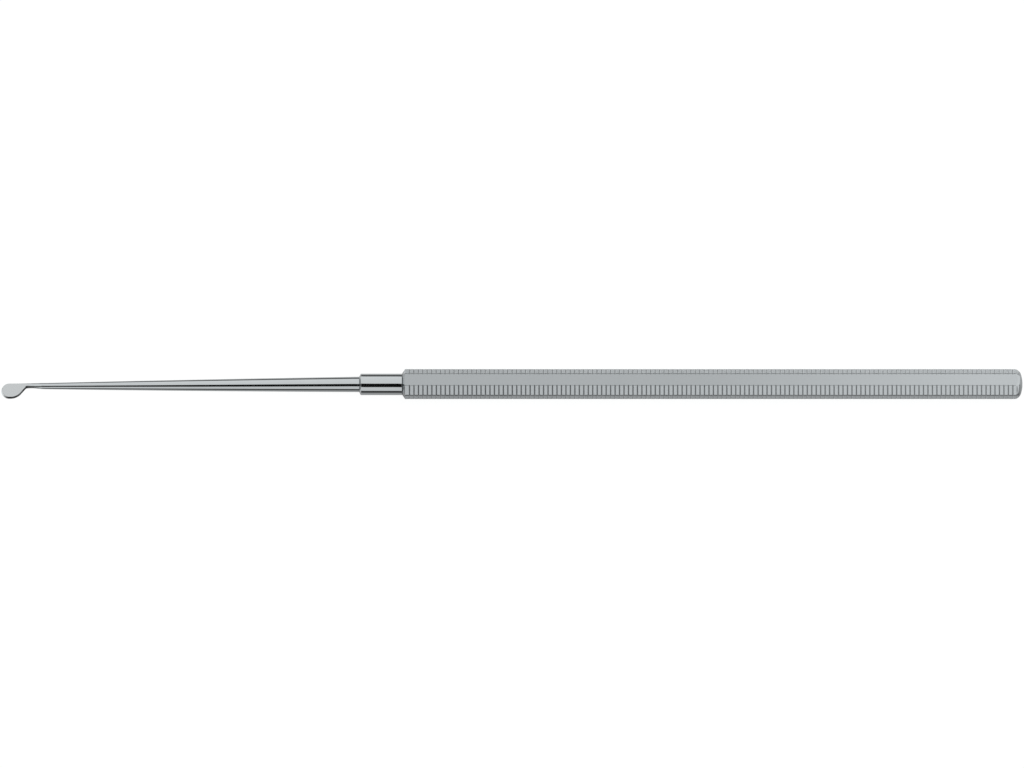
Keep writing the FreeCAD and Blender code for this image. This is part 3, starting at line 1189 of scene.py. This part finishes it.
@dataclass
class WorkingEnd:
    """Polished working end: blade, neck, tapered shaft, collar and hidden tang.

    Attributes:
        handle_x: Where the handle starts, in millimetres like all the sizes.
        blade: The blade.
        blade_to_neck: Distance from the tip to the round neck.
        neck_end: Distance from the tip to the neck's rear.
        taper_start: Distance from the tip to the long taper's front.
        round_lead: How far behind that front the first plain round ring lies.
        taper_middle: Distance from the tip to the middle of the taper.
        blend_lead: How far ahead of the neck's rear the taper starts to take over.
        blend_overrun: How far behind its own front it has taken over.
        collar_from_tip: Distance from the tip to the collar.
        collar_length: Length of the collar.
        front_radius: Radius of the taper at its front.
        middle_radius: Radius of the taper at its middle.
        root_radius: Radius of the taper at the collar.
        collar_radius: Radius of the collar.
        collar_chamfer: Length of the collar's front chamfer.
        collar_lead: How far ahead of the collar its outline starts.
        shaft_gap: How far ahead of the collar the last ring of the shaft stands.
        chamfer_lead: How far the chamfer lies ahead of the collar's nominal front.
        edge_rounding: Rounding of the collar's edges.
        seam_rounding: Rounding of the collar's rear edge beside the handle.
        seam_shade_width: How much of the collar's rear gets the painted shade of the seam.
        tang_radius: Radius of the hidden tang.
        tang_length: Length of the hidden tang.
        tang_chamfer: Chamfer at the tang's end.
        tang_rounding: Rounding of that chamfer's edges.
        join_rounding: Rounding where the chamfer of the collar starts.
        end_radius: Radius down to which the tang's end is drawn.
        lean: Angle by which the shaft leans towards the belly, in radians.
        flat_start: Distance from the tip to where the flat begins to run out.
        flat_end: Distance from the tip to where the section is round.
        set_off: How far the hand-set shaft and collar lie beside the handle's axis.
        set_off_run: How far behind the taper's front that is reached.
        neck_lift: How far the neck's centre line lies towards +Y.
        neck_lift_span: Between which distances from the tip that comes in.
        belly_shade_strength: How dark the painted shade on the wall of the belly is.
        ring_size: How many points a ring has, a multiple of 6.
        tip_rings: How many rings draw the tip's round.
        blade_step: Distance from ring to ring along the blade.
        run_out_step: Distance from ring to ring where the flat runs out.
        shaft_rings: How many rings draw the shaft.
        bend_points: How many points draw each rounded corner of the collar.
        longest_step: Greatest distance from ring to ring on the collar and tang.
        finish: Finish of the working end.
    """

    handle_x: float
    blade: Blade = field(default_factory=Blade)
    blade_to_neck: float = 4.35
    neck_end: float = 4.9
    taper_start: float = 6.1
    round_lead: float = 2.2
    taper_middle: float = 30.3
    blend_lead: float = 0.1
    blend_overrun: float = 0.25
    collar_from_tip: float = 56.2
    collar_length: float = 6.6
    front_radius: float = 0.47
    middle_radius: float = 0.875
    root_radius: float = 1.2
    collar_radius: float = 1.675
    collar_chamfer: float = 0.22
    collar_lead: float = 0.22
    shaft_gap: float = 0.3
    chamfer_lead: float = 0.12
    edge_rounding: float = 0.05
    seam_rounding: float = 0.07
    seam_shade_width: float = 0.045
    tang_radius: float = 1.1
    tang_length: float = 12.0
    tang_chamfer: float = 0.2
    tang_rounding: float = 0.05
    join_rounding: float = 0.02
    end_radius: float = 0.02
    lean: float = math.radians(0.33)
    flat_start: float = 3.5
    flat_end: float = 5.0
    set_off: float = 0.05
    set_off_run: float = 1.1
    neck_lift: float = 0.03
    neck_lift_span: Span = (2.6, 3.9)
    belly_shade_strength: float = 0.95
    ring_size: int = 96
    tip_rings: int = 40
    blade_step: float = 0.05
    run_out_step: float = 0.08
    shaft_rings: int = 70
    bend_points: int = 5
    longest_step: float = 0.6
    finish: PolishedSteel = PolishedSteel()

    def angles(self) -> Array:
        """Return the polar angle of each point of a ring, from +Y towards +Z."""
        return np.arange(self.ring_size) * 2 * math.pi / self.ring_size

    def round_start(self) -> float:
        """Return the distance from the tip to the first plain round ring."""
        return self.taper_start + self.round_lead

    def collar_rear(self) -> float:
        """Return the distance from the tip to the collar's rear."""
        return self.collar_from_tip + self.collar_length

    def shaft_radius(self, from_tip: Array) -> Array:
        """Give the radius of the neck and the slightly convex long taper.

        Args:
            from_tip: Distances from the blade's tip.

        Returns:
            The radius at each distance.
        """
        knots = [self.taper_start, self.taper_middle, self.collar_from_tip]
        curve = np.polyfit(knots, [self.front_radius, self.middle_radius, self.root_radius], 2)
        blend_end = self.taper_start + self.blend_overrun
        share = smooth_step(self.neck_end - self.blend_lead, blend_end, from_tip)
        return self.blade.neck_radius * (1.0 - share) + np.polyval(curve, from_tip) * share

    def blade_section(self, from_tip: float) -> Array:
        """Draw the flat section of the blade at one distance from the tip.

        Args:
            from_tip: Distance from the tip.

        Returns:
            The ring's points, from the straight side over the top to the belly and back below.
        """
        rim_count, face_count = self.ring_size // 6, self.ring_size // 3
        rims = []
        for point, outward in (self.blade.upper_rim(from_tip), self.blade.lower_rim(from_tip)):
            profile = self.blade.rim_profile(rim_count, outward)
            rims.append(np.concatenate([point - np.outer(profile[:, 0], outward), profile[:, 1:]], axis=1))
        upper, lower = rims
        share = np.linspace(0.0, 1.0, face_count + 2)[1:-1, None]
        top = upper[-1] * (1 - share) + lower[-1] * share
        underside = lower[0] * (1 - share) + upper[0] * share
        return np.roll(np.concatenate([upper, top, lower[::-1], underside]), -(rim_count // 2), axis=0)

    def oval_section(self, from_tip: float, half_height: float) -> Array:
        """Draw an oval section that spans the outline at one distance from the tip.

        Args:
            from_tip: Distance from the tip.
            half_height: Half the section's height.

        Returns:
            The ring's points.
        """
        high, low = self.blade.upper_rim(from_tip)[0][1], self.blade.lower_rim(from_tip)[0][1]
        middle, half = (high + low) / 2, (high - low) / 2
        angle = self.angles()
        across, up = middle + half * np.cos(angle), half_height * np.sin(angle)
        return np.stack([np.full_like(angle, from_tip), across, up], axis=1)

    def blade_rings(self) -> tuple[Array, Array]:
        """Draw the rings from the tip to where the flat has run out in the round shaft.

        Returns:
            The rings' points, and how much of each ring is flat.
        """
        radius, neck_radius = self.blade.width / 2, self.blade.neck_radius
        round_off = radius * (1 - np.cos(np.linspace(0.0, math.pi / 2, self.tip_rings)))
        straight = np.arange(radius + 0.06, self.blade_to_neck + 0.2, self.blade_step)
        running_out = np.arange(self.blade_to_neck + 0.25, self.round_start(), self.run_out_step)
        rings, flatness = [], []
        for from_tip in np.concatenate([round_off, straight, running_out]):
            share = float(smooth_step(self.flat_start, self.flat_end, from_tip))
            flat, oval = self.blade_section(from_tip), self.oval_section(from_tip, neck_radius)
            ring = flat * (1 - share) + oval * share
            ring[:, 1:] *= float(self.shaft_radius(from_tip)) / neck_radius
            rings.append(ring)
            flatness.append(1 - share)
        return np.stack(rings), np.array(flatness)

    def shaft_places(self) -> list[tuple[float, float]]:
        """Return the position and radius of each ring of the round shaft."""
        from_tip = np.linspace(self.round_start(), self.collar_from_tip - self.shaft_gap, self.shaft_rings)
        return list(zip(from_tip, self.shaft_radius(from_tip)))

    def collar_places(self) -> list[tuple[float, float]]:
        """Draw the outline of the collar and tang.

        Returns:
            Position and radius of each ring, from the tip.
        """
        front, rear = self.collar_from_tip, self.collar_rear()
        tang_end = rear + self.tang_length
        return rounded_outline([
            (front - self.collar_lead, self.root_radius, 0.0),
            (front - self.chamfer_lead, self.root_radius, self.join_rounding),
            (front + self.collar_chamfer - self.chamfer_lead, self.collar_radius, self.edge_rounding),
            (rear, self.collar_radius, self.seam_rounding),
            (rear, self.tang_radius, 0.0),
            (tang_end - self.tang_chamfer, self.tang_radius, self.tang_rounding),
            (tang_end, self.tang_radius - self.tang_chamfer, self.tang_rounding),
            (tang_end, self.end_radius, 0.0),
        ], self.bend_points, self.longest_step)

    def centre_line(self, from_tip: Array) -> Array:
        """Give how far the hand-set centre line of the neck, shaft and collar lies towards +Y.

        Args:
            from_tip: Distances from the blade's tip.

        Returns:
            The offset at each distance.
        """
        behind = smooth_step(self.blade_to_neck, self.taper_start + self.set_off_run, from_tip)
        neck = smooth_step(*self.neck_lift_span, from_tip) * (1.0 - behind)
        return (self.neck_lift * neck - self.set_off * behind) * (from_tip < self.collar_rear() + 0.001)

    def skin(self, axis_height: float) -> Skin:
        """Loft the whole working end, from the blade's tip to the end of the tang.

        Args:
            axis_height: Height of the handle's axis.

        Returns:
            The lofted skin with its masks.
        """
        blade, flatness = self.blade_rings()
        leaning = np.concatenate([blade, circle_rings(self.shaft_places(), self.angles())])
        collar = circle_rings(self.collar_places(), self.angles())
        collar_x = collar[:, 0, 0]
        leaning[..., 1] += self.centre_line(leaning[..., 0])
        leaning = turn_about_z(leaning, np.array([self.collar_from_tip, 0.0, 0.0]), self.lean)
        collar[..., 1] += self.centre_line(collar[..., 0])
        rings = np.concatenate([leaning, collar])
        rings[..., 0] += self.handle_x - self.collar_length - self.collar_from_tip
        rings[..., 2] += axis_height
        on_blade, on_collar = slice(0, len(blade)), slice(len(leaning), None)
        edge, groove, ground = (np.zeros(rings.shape[:2]) for _ in range(3))
        edge[on_blade] = self.rim_mask() * flatness[:, None]
        edge[on_collar] = self.collar_edge_mask(collar_x)[:, None]
        # Painted shade on the belly wall and the neck, in the seam at the collar's rear and on the chamfer.
        groove[on_blade] = self.belly_painted_shade(blade)
        in_seam = (collar_x > self.collar_rear() - self.seam_shade_width)[:, None]
        groove[on_collar] = np.maximum(in_seam, self.chamfer_painted_shade(collar_x))
        ground[on_blade] = flatness[:, None]
        return Skin(rings, {MaskName.EDGE: edge, MaskName.SHADE_AND_GRIME: groove, MaskName.GROUND: ground})

    def rim_mask(self) -> Array:
        """Give 1 along the blade's rims and 0 elsewhere on a ring."""
        return smooth_step(0.3, 0.95, np.maximum(np.cos(2 * self.angles()), 0.0))

    def belly_painted_shade(self, blade: Array) -> Array:
        """Give the painted shade on the blade's belly wall and on the wall of the neck.

        Args:
            blade: The rings of the blade, before they lean.

        Returns:
            A value for each point, highest on the wall from the belly back to the neck.
        """
        angle = np.degrees(self.angles())
        from_tip = blade[:, 0, 0][:, None]
        wall = plateau((150.0, 158.0), (202.0, 208.0), angle)
        lighter = plateau((2.0, 2.7), (3.2, 3.6), from_tip)
        belly = wall * smooth_step(0.55, 0.95, from_tip) * (1.0 - 0.34 * lighter)
        shift = smooth_step(5.2, 6.6, from_tip)
        side = plateau((115.0 - 8.0 * shift, 119.0 - 8.0 * shift), (200.0, 212.0), angle)
        low = smooth_step(138.0 - 15.0 * shift, 145.0 - 15.0 * shift, angle)
        high_part = (1.0 - low) * (1.0 - smooth_step(7.2, 8.2, from_tip))
        heel = 1.0 - smooth_step(3.9, 4.2, from_tip)
        low_part = (0.85 + 0.13 * heel) * low * (1.0 - smooth_step(4.3, 7.0, from_tip))
        behind = smooth_step(3.78, 3.95, from_tip)
        return self.belly_shade_strength * belly * (1.0 - behind) + side * (high_part + low_part) * behind

    def chamfer_painted_shade(self, x: Array) -> Array:
        """Give the painted shade on the collar's chamfer, most on its side towards the belly.

        Args:
            x: Position of each ring of the collar, from the tip.

        Returns:
            A value for each point of each ring.
        """
        front = self.collar_from_tip - self.chamfer_lead
        on_chamfer = ((x > front - 0.03) & (x < front + self.collar_chamfer - 0.01))[:, None]
        turned = self.angles() - UNSHADED_ANGLE
        # Painted shade all round the chamfer, more on the flanks turned away from the camera.
        all_round, below, above = 0.26, 0.42, 0.12
        flank = smooth_step(0.88, 0.72, np.cos(turned)) * np.where(np.sin(turned) > 0.0, below, above)
        return on_chamfer * (all_round + flank)

    def collar_edge_mask(self, x: Array) -> Array:
        """Give 1 at the collar's front edge, falling to 0 away from it."""
        edge_x = self.collar_from_tip + self.collar_chamfer - self.chamfer_lead
        return np.exp(-(((x - edge_x) / 0.06) ** 2))

    def build(self, axis_height: float, effects: Effects) -> bpy.types.Object:
        """Build the working end's piece and dress it.

        Args:
            axis_height: Height of the handle's axis.
            effects: Shared effects.

        Returns:
            The dressed piece.
        """
        piece = self.skin(axis_height).build("polished_working_end")
        dress(piece, "working_end", self.finish.material(effects))
        return piece


def rounded_outline(
    corners: Sequence[tuple[float, float, float]], steps: int, spacing: float
) -> list[tuple[float, float]]:
    """Round the corners of an outline and add points along its long runs.

    Args:
        corners: Position, radius and rounding of each corner.
        steps: Points that draw each rounded corner.
        spacing: Greatest distance between points on a run.

    Returns:
        Position and radius of each point.
    """
    points = [np.array(corner[:2]) for corner in corners]
    drawn = [points[0]]
    for index in range(1, len(points)):
        here = points[index]
        before = here - points[index - 1]
        entry = here
        bend: list[Array] = []
        if index < len(points) - 1 and corners[index][2] > 0:
            after = points[index + 1] - here
            cut = min(corners[index][2], 0.45 * np.linalg.norm(before), 0.45 * np.linalg.norm(after))
            entry = here - before / np.linalg.norm(before) * cut
            leave = here + after / np.linalg.norm(after) * cut
            shares = np.linspace(0.0, 1.0, steps)[1:]
            bend = [(1 - t) ** 2 * entry + 2 * t * (1 - t) * here + t * t * leave for t in shares]
        run = entry - drawn[-1]
        pieces = max(1, math.ceil(np.linalg.norm(run) / spacing))
        drawn += [drawn[-1] + run * (piece + 1) / pieces for piece in range(pieces)]
        drawn += bend
    return [(float(point[0]), float(point[1])) for point in drawn]


# Studio -------------------------------------------------------------------------------------


@dataclass(frozen=True)
class Studio:
    """Pale floor, soft lamp, banded surroundings and the camera.

    Attributes:
        elevation: Camera's height angle above the floor, in radians.
        view_width: Width of the picture at the knife, in metres.
        view_distance: Distance from the knife to the camera, in metres.
        floor_size: Side of the square floor, in metres.
        axis_height: Height of the handle's axis, in metres.
        axis_row: How far the knife's axis lies below the picture's middle, in pixels.
        lamp_height: Height of the lamp above the knife, in metres.
        lamp_size: Side of the square lamp, in metres.
        lamp_power: Power of the lamp, in watts.
        level_bands: Greys square to the knife, by angle about it in degrees.
        near_bands: Greys a little to either side.
        right_bands: Greys towards the handle's end.
        right_end_bands: Greys straight behind the handle.
        left_bands: Greys towards the blade.
        left_end_bands: Greys straight ahead of the blade.
    """

    elevation: float = math.radians(69.5)
    view_width: float = 0.16040
    view_distance: float = 0.6
    floor_size: float = 3.0
    axis_height: float = 0.002175
    axis_row: float = 0.1
    lamp_height: float = 1.2
    lamp_size: float = 1.6
    lamp_power: float = 3.0
    level_bands: Bands = (
        (-180.0, 0.42), (-108.0, 0.42), (-99.0, 0.05), (-77.0, 0.04), (-71.5, 0.75), (-32.0, 0.75),
        (-29.0, 0.05), (-26.0, 0.004), (7.0, 0.004), (10.0, 0.84), (50.0, 0.87), (92.0, 0.92),
        (98.0, 0.12), (122.0, 0.08), (129.0, 0.62), (180.0, 0.45),
    )
    near_bands: Bands = (
        (-180.0, 0.35), (-165.0, 0.42), (-140.0, 0.585), (-110.0, 0.53), (-85.0, 0.7), (-49.0, 0.93),
        (0.0, 0.88), (41.0, 0.86), (90.0, 0.88), (115.0, 1.02), (131.0, 1.12), (150.0, 1.05),
        (170.0, 0.5), (180.0, 0.35),
    )
    right_bands: Bands = (
        (-180.0, 0.44), (-165.0, 0.34), (-112.0, 0.2), (-90.0, 0.28), (-75.0, 0.6), (-49.0, 0.93),
        (0.0, 0.87), (41.0, 0.86), (90.0, 0.8), (105.0, 0.5), (145.0, 0.5), (158.0, 0.52), (180.0, 0.46),
    )
    right_end_bands: Bands = (
        (-180.0, 0.4), (-165.0, 0.33), (-125.0, 0.26), (-108.0, 0.5), (-95.0, 0.8), (-49.0, 0.93),
        (0.0, 0.88), (41.0, 0.86), (95.0, 0.86), (125.0, 0.86), (155.0, 0.84), (165.0, 0.58),
        (172.0, 0.42), (180.0, 0.4),
    )
    left_bands: Bands = (
        (-180.0, 1.04), (-146.0, 1.1), (-121.0, 1.06), (-108.0, 0.5), (-99.0, 0.35), (-90.0, 0.25),
        (-75.0, 0.34), (-32.0, 0.34), (-29.0, 0.03), (-26.0, 0.01), (7.0, 0.01), (10.0, 0.34),
        (50.0, 0.38), (90.0, 0.42), (105.0, 0.62), (131.0, 0.75), (165.0, 0.75), (172.0, 1.0),
        (180.0, 1.04),
    )
    left_end_bands: Bands = (
        (-180.0, 0.9), (-150.0, 0.95), (-120.0, 0.8), (-90.0, 0.25), (-75.0, 0.5), (-32.0, 0.55),
        (-29.0, 0.05), (-26.0, 0.01), (7.0, 0.01), (10.0, 0.85), (90.0, 0.9), (150.0, 0.8), (180.0, 0.9),
    )

    def to_camera(self) -> Vector:
        """Return the direction from the knife to the camera."""
        return Vector((0.0, -math.cos(self.elevation), math.sin(self.elevation)))

    def picture_up(self) -> Vector:
        """Return the picture's upward direction."""
        return Vector((0.0, math.sin(self.elevation), math.cos(self.elevation)))

    def build_floor(self) -> None:
        """Lay the floor, which the steel doesn't mirror."""
        half = self.floor_size / 2
        mesh = bpy.data.meshes.new("floor")
        corners = [(-half, -half, 0.0), (half, -half, 0.0), (half, half, 0.0), (-half, half, 0.0)]
        mesh.from_pydata(corners, [], [(0, 1, 2, 3)])
        mesh.materials.append(OpalSheet().material())
        floor = bpy.data.objects.new("floor", mesh)
        floor.visible_glossy = False
        bpy.context.scene.collection.objects.link(floor)

    def build_world(self) -> None:
        """Surround the knife with soft panels and dark gaps, set by angle about its axis."""
        world = bpy.data.worlds.new("studio")
        world.use_nodes = True
        world.node_tree.nodes.clear()
        bench = Bench(world.node_tree)
        direction = bench.add("ShaderNodeTexCoord").outputs["Generated"]
        towards = bench.project(direction, self.to_camera())
        upward = bench.project(direction, self.picture_up())
        turn = bench.spread(bench.maths("ARCTAN2", upward, towards), -math.pi, math.pi, 0.0, 1.0)
        aside = bench.along(direction)
        lit = self.ramp(bench, turn, self.level_bands)
        for bands, reach, low, high in (
            (self.near_bands, bench.maths("ABSOLUTE", aside), 0.055, 0.10),
            (self.right_bands, aside, 0.28, 0.38),
            (self.right_end_bands, aside, 0.72, 0.82),
            (self.left_bands, aside, -0.38, -0.52),
            (self.left_end_bands, aside, -0.80, -0.90),
        ):
            share = bench.spread(reach, low, high, 0.0, 1.0)
            lit = bench.blend_colours(share, lit, self.ramp(bench, turn, bands))
        path = bench.add("ShaderNodeLightPath")
        shown = bench.blend_colours(path.outputs["Is Camera Ray"], lit, (0.81, 0.81, 0.81, 1.0))
        background = bench.add("ShaderNodeBackground", {"Color": shown, "Strength": BRIGHTEST})
        bench.add("ShaderNodeOutputWorld", {"Surface": background.outputs[0]})
        bpy.context.scene.world = world

    @staticmethod
    def ramp(bench: Bench, turn: bpy.types.NodeSocket, bands: Bands) -> bpy.types.NodeSocket:
        """Turn a list of greys by angle into a ramp.

        Args:
            bench: Bench of the world.
            turn: Angle about the knife, from 0 at -180 degrees to 1 at 180 degrees.
            bands: Angles in degrees and the grey at each.

        Returns:
            The ramp's colour.
        """
        node = bench.add("ShaderNodeValToRGB", {0: turn})
        elements = node.color_ramp.elements
        for index, (angle, grey) in enumerate(bands):
            position = (angle + 180.0) / 360.0
            element = elements[index] if index < 2 else elements.new(position)
            element.position = position
            element.color = (grey / BRIGHTEST, grey / BRIGHTEST, grey / BRIGHTEST, 1.0)
        return node.outputs[0]

    def build_lamp(self) -> None:
        """Hang a soft square lamp that lights the floor but isn't mirrored in the steel."""
        data = bpy.data.lights.new("overhead_panel", "AREA")
        data.shape = "SQUARE"
        data.size = self.lamp_size
        data.energy = self.lamp_power
        lamp = bpy.data.objects.new("overhead_panel", data)
        lamp.location = Vector((0.0, 0.0, self.lamp_height))
        lamp.rotation_euler = (-lamp.location).to_track_quat("-Z", "Y").to_euler()
        lamp.visible_glossy = False
        bpy.context.scene.collection.objects.link(lamp)

    def build_camera(self) -> None:
        """Set the camera at the photograph's viewing angle, with the knife level in the frame."""
        data = bpy.data.cameras.new("camera")
        data.type = "ORTHO"
        data.ortho_scale = self.view_width
        data.clip_start = 0.01
        data.clip_end = 20.0
        camera = bpy.data.objects.new("camera", data)
        middle = Vector((0.0, 0.0, self.axis_height))
        middle += self.picture_up() * (self.axis_row * self.view_width / PICTURE_WIDTH)
        camera.location = middle + self.to_camera() * self.view_distance
        camera.rotation_euler = (-self.to_camera()).to_track_quat("-Z", "Y").to_euler()
        bpy.context.scene.collection.objects.link(camera)
        bpy.context.scene.camera = camera

    def build(self) -> None:
        """Build the floor, surroundings, lamp and camera."""
        self.build_floor()
        self.build_world()
        self.build_lamp()
        self.build_camera()
        bpy.context.scene.view_settings.view_transform = "Standard"


# Assembly -----------------------------------------------------------------------------------


def report(piece: bpy.types.Object) -> None:
    """Report a piece's name, faces and box.

    Args:
        piece: The dressed piece.
    """
    points = np.array([vertex.co for vertex in piece.data.vertices]) / MM
    low, high = points.min(axis=0).round(3), points.max(axis=0).round(3)
    LOG.info("%s: %d faces, %s to %s mm", piece.name, len(piece.data.polygons), low, high)


def main() -> None:
    """Build the knife and its studio, and report each piece."""
    logging.basicConfig(level=logging.INFO, format="%(name)s: %(message)s")
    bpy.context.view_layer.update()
    handle_low, handle_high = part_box("octagonal_handle")
    end_low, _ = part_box("working_end")
    LOG.info("the solids run from %.3f to %.3f mm", end_low[0] / MM, handle_high[0] / MM)
    studio, effects = Studio(), Effects(build_grain(), build_haze(), build_wear())
    handle = OctagonalHandle(front_x=handle_low[0] / MM, end_x=handle_high[0] / MM)
    working_end = WorkingEnd(handle_x=handle_low[0] / MM)
    for part in (handle, working_end):
        report(part.build(studio.axis_height / MM, effects))
    studio.build()


if __name__ == "__main__":
    main()
